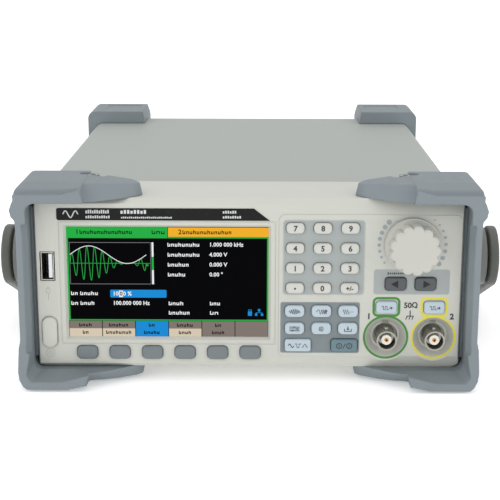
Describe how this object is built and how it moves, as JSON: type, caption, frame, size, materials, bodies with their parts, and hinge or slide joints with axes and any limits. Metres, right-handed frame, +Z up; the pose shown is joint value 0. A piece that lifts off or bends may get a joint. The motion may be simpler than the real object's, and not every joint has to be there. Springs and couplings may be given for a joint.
{
  "type": "function generator",
  "caption": "Bench function generator: flat metal case with corner bumpers, colour display, keypad, scalloped knob, two coaxial outputs and a swing handle stowed beneath.",
  "frame": {"origin": "centre of the bounding box at table height, under the lower bumpers", "axes": "+X to the right seen from the front, +Y to the back, +Z up; the front panel faces -Y"},
  "size_m": [0.2612, 0.2958, 0.098],
  "materials": {
    "bezel_plastic": "satin",
    "strip_black": "gloss",
    "window_glass": "clear",
    "module_dark": "matt",
    "board_green": "satin",
    "steel": "brushed",
    "nickel": "polished nickel",
    "insulator_white": "smooth",
    "contact_gold": "plated",
    "bumper_rubber": "matt",
    "cover_paint": "fine texture",
    "inlet_black": "moulded",
    "handle_plastic": "satin",
    "grip_rubber": "matt",
    "knob_plastic": "satin",
    "key_white": "satin",
    "key_blue": "satin",
    "key_teal": "satin",
    "key_dark": "satin",
    "key_grey": "satin"
  },
  "bodies": {
    "case": {"front_bezel": "bezel_plastic", "control_plate": "bezel_plastic", "name_strip": "strip_black", "display_window": "window_glass", "display_module": "module_dark", "key_board": "board_green", "encoder": "steel", "output_shell_1": "nickel", "output_shell_2": "nickel", "output_insulators": "insulator_white", "output_contacts": "contact_gold", "bus_socket": "steel", "front_bumper_left": "bumper_rubber", "front_bumper_right": "bumper_rubber", "rear_bumper_left": "bumper_rubber", "rear_bumper_right": "bumper_rubber", "bumper_screws": "steel", "case_cover": "cover_paint", "case_base": "cover_paint", "rear_panel": "cover_paint", "main_board": "board_green", "mains_inlet": "inlet_black", "rear_coax_sockets": "nickel", "rear_network_socket": "steel", "rear_device_socket": "steel", "handle_hubs": "handle_plastic"},
    "key_number_7": {"key_number_7": "key_white"},
    "key_number_8": {"key_number_8": "key_white"},
    "key_number_9": {"key_number_9": "key_white"},
    "key_number_4": {"key_number_4": "key_white"},
    "key_number_5": {"key_number_5": "key_white"},
    "key_number_6": {"key_number_6": "key_white"},
    "key_number_1": {"key_number_1": "key_white"},
    "key_number_2": {"key_number_2": "key_white"},
    "key_number_3": {"key_number_3": "key_white"},
    "key_number_point": {"key_number_point": "key_white"},
    "key_number_0": {"key_number_0": "key_white"},
    "key_number_sign": {"key_number_sign": "key_white"},
    "key_function_1": {"key_function_1": "key_blue"},
    "key_function_2": {"key_function_2": "key_blue"},
    "key_function_3": {"key_function_3": "key_blue"},
    "key_function_4": {"key_function_4": "key_blue"},
    "key_function_5": {"key_function_5": "key_blue"},
    "key_function_6": {"key_function_6": "key_blue"},
    "key_waveform": {"key_waveform": "key_blue"},
    "key_channel": {"key_channel": "key_teal"},
    "key_arrow_left": {"key_arrow_left": "key_dark"},
    "key_arrow_right": {"key_arrow_right": "key_dark"},
    "key_output_1": {"key_output_1": "key_blue"},
    "key_output_2": {"key_output_2": "key_blue"},
    "key_soft_1": {"key_soft_1": "key_grey"},
    "key_soft_2": {"key_soft_2": "key_grey"},
    "key_soft_3": {"key_soft_3": "key_grey"},
    "key_soft_4": {"key_soft_4": "key_grey"},
    "key_soft_5": {"key_soft_5": "key_grey"},
    "key_soft_6": {"key_soft_6": "key_grey"},
    "key_power": {"key_power": "bezel_plastic"},
    "knob": {"control_knob": "knob_plastic"},
    "handle": {"handle_frame": "handle_plastic", "handle_grip": "grip_rubber"}
  },
  "joints": [
    {"name": "press_key_number_7", "type": "slide", "parent": "case", "child": "key_number_7", "axis": [0, 1, 0], "range_m": [0, 0.0008], "stiffness_N_per_m": 500},
    {"name": "press_key_number_8", "type": "slide", "parent": "case", "child": "key_number_8", "axis": [0, 1, 0], "range_m": [0, 0.0008], "stiffness_N_per_m": 500},
    {"name": "press_key_number_9", "type": "slide", "parent": "case", "child": "key_number_9", "axis": [0, 1, 0], "range_m": [0, 0.0008], "stiffness_N_per_m": 500},
    {"name": "press_key_number_4", "type": "slide", "parent": "case", "child": "key_number_4", "axis": [0, 1, 0], "range_m": [0, 0.0008], "stiffness_N_per_m": 500},
    {"name": "press_key_number_5", "type": "slide", "parent": "case", "child": "key_number_5", "axis": [0, 1, 0], "range_m": [0, 0.0008], "stiffness_N_per_m": 500},
    {"name": "press_key_number_6", "type": "slide", "parent": "case", "child": "key_number_6", "axis": [0, 1, 0], "range_m": [0, 0.0008], "stiffness_N_per_m": 500},
    {"name": "press_key_number_1", "type": "slide", "parent": "case", "child": "key_number_1", "axis": [0, 1, 0], "range_m": [0, 0.0008], "stiffness_N_per_m": 500},
    {"name": "press_key_number_2", "type": "slide", "parent": "case", "child": "key_number_2", "axis": [0, 1, 0], "range_m": [0, 0.0008], "stiffness_N_per_m": 500},
    {"name": "press_key_number_3", "type": "slide", "parent": "case", "child": "key_number_3", "axis": [0, 1, 0], "range_m": [0, 0.0008], "stiffness_N_per_m": 500},
    {"name": "press_key_number_point", "type": "slide", "parent": "case", "child": "key_number_point", "axis": [0, 1, 0], "range_m": [0, 0.0008], "stiffness_N_per_m": 500},
    {"name": "press_key_number_0", "type": "slide", "parent": "case", "child": "key_number_0", "axis": [0, 1, 0], "range_m": [0, 0.0008], "stiffness_N_per_m": 500},
    {"name": "press_key_number_sign", "type": "slide", "parent": "case", "child": "key_number_sign", "axis": [0, 1, 0], "range_m": [0, 0.0008], "stiffness_N_per_m": 500},
    {"name": "press_key_function_1", "type": "slide", "parent": "case", "child": "key_function_1", "axis": [0, 1, 0], "range_m": [0, 0.0008], "stiffness_N_per_m": 500},
    {"name": "press_key_function_2", "type": "slide", "parent": "case", "child": "key_function_2", "axis": [0, 1, 0], "range_m": [0, 0.0008], "stiffness_N_per_m": 500},
    {"name": "press_key_function_3", "type": "slide", "parent": "case", "child": "key_function_3", "axis": [0, 1, 0], "range_m": [0, 0.0008], "stiffness_N_per_m": 500},
    {"name": "press_key_function_4", "type": "slide", "parent": "case", "child": "key_function_4", "axis": [0, 1, 0], "range_m": [0, 0.0008], "stiffness_N_per_m": 500},
    {"name": "press_key_function_5", "type": "slide", "parent": "case", "child": "key_function_5", "axis": [0, 1, 0], "range_m": [0, 0.0008], "stiffness_N_per_m": 500},
    {"name": "press_key_function_6", "type": "slide", "parent": "case", "child": "key_function_6", "axis": [0, 1, 0], "range_m": [0, 0.0008], "stiffness_N_per_m": 500},
    {"name": "press_key_waveform", "type": "slide", "parent": "case", "child": "key_waveform", "axis": [0, 1, 0], "range_m": [0, 0.0008], "stiffness_N_per_m": 500},
    {"name": "press_key_channel", "type": "slide", "parent": "case", "child": "key_channel", "axis": [0, 1, 0], "range_m": [0, 0.0008], "stiffness_N_per_m": 500},
    {"name": "press_key_arrow_left", "type": "slide", "parent": "case", "child": "key_arrow_left", "axis": [0, 1, 0], "range_m": [0, 0.0008], "stiffness_N_per_m": 500},
    {"name": "press_key_arrow_right", "type": "slide", "parent": "case", "child": "key_arrow_right", "axis": [0, 1, 0], "range_m": [0, 0.0008], "stiffness_N_per_m": 500},
    {"name": "press_key_output_1", "type": "slide", "parent": "case", "child": "key_output_1", "axis": [0, 1, 0], "range_m": [0, 0.0008], "stiffness_N_per_m": 500},
    {"name": "press_key_output_2", "type": "slide", "parent": "case", "child": "key_output_2", "axis": [0, 1, 0], "range_m": [0, 0.0008], "stiffness_N_per_m": 500},
    {"name": "press_key_soft_1", "type": "slide", "parent": "case", "child": "key_soft_1", "axis": [0, 1, 0], "range_m": [0, 0.0008], "stiffness_N_per_m": 500},
    {"name": "press_key_soft_2", "type": "slide", "parent": "case", "child": "key_soft_2", "axis": [0, 1, 0], "range_m": [0, 0.0008], "stiffness_N_per_m": 500},
    {"name": "press_key_soft_3", "type": "slide", "parent": "case", "child": "key_soft_3", "axis": [0, 1, 0], "range_m": [0, 0.0008], "stiffness_N_per_m": 500},
    {"name": "press_key_soft_4", "type": "slide", "parent": "case", "child": "key_soft_4", "axis": [0, 1, 0], "range_m": [0, 0.0008], "stiffness_N_per_m": 500},
    {"name": "press_key_soft_5", "type": "slide", "parent": "case", "child": "key_soft_5", "axis": [0, 1, 0], "range_m": [0, 0.0008], "stiffness_N_per_m": 500},
    {"name": "press_key_soft_6", "type": "slide", "parent": "case", "child": "key_soft_6", "axis": [0, 1, 0], "range_m": [0, 0.0008], "stiffness_N_per_m": 500},
    {"name": "press_key_power", "type": "slide", "parent": "case", "child": "key_power", "axis": [0, 1, 0], "range_m": [0, 0.0008], "stiffness_N_per_m": 500},
    {"name": "turn_knob", "type": "hinge", "parent": "case", "child": "knob", "pos_m": [0.0766, -0.14085, 0.0689], "axis": [0, 1, 0], "continuous": true},
    {"name": "swing_handle", "type": "hinge", "parent": "case", "child": "handle", "pos_m": [0, -0.05185, 0.043], "axis": [-1, 0, 0], "range_deg": [0, 160]}
  ]
}
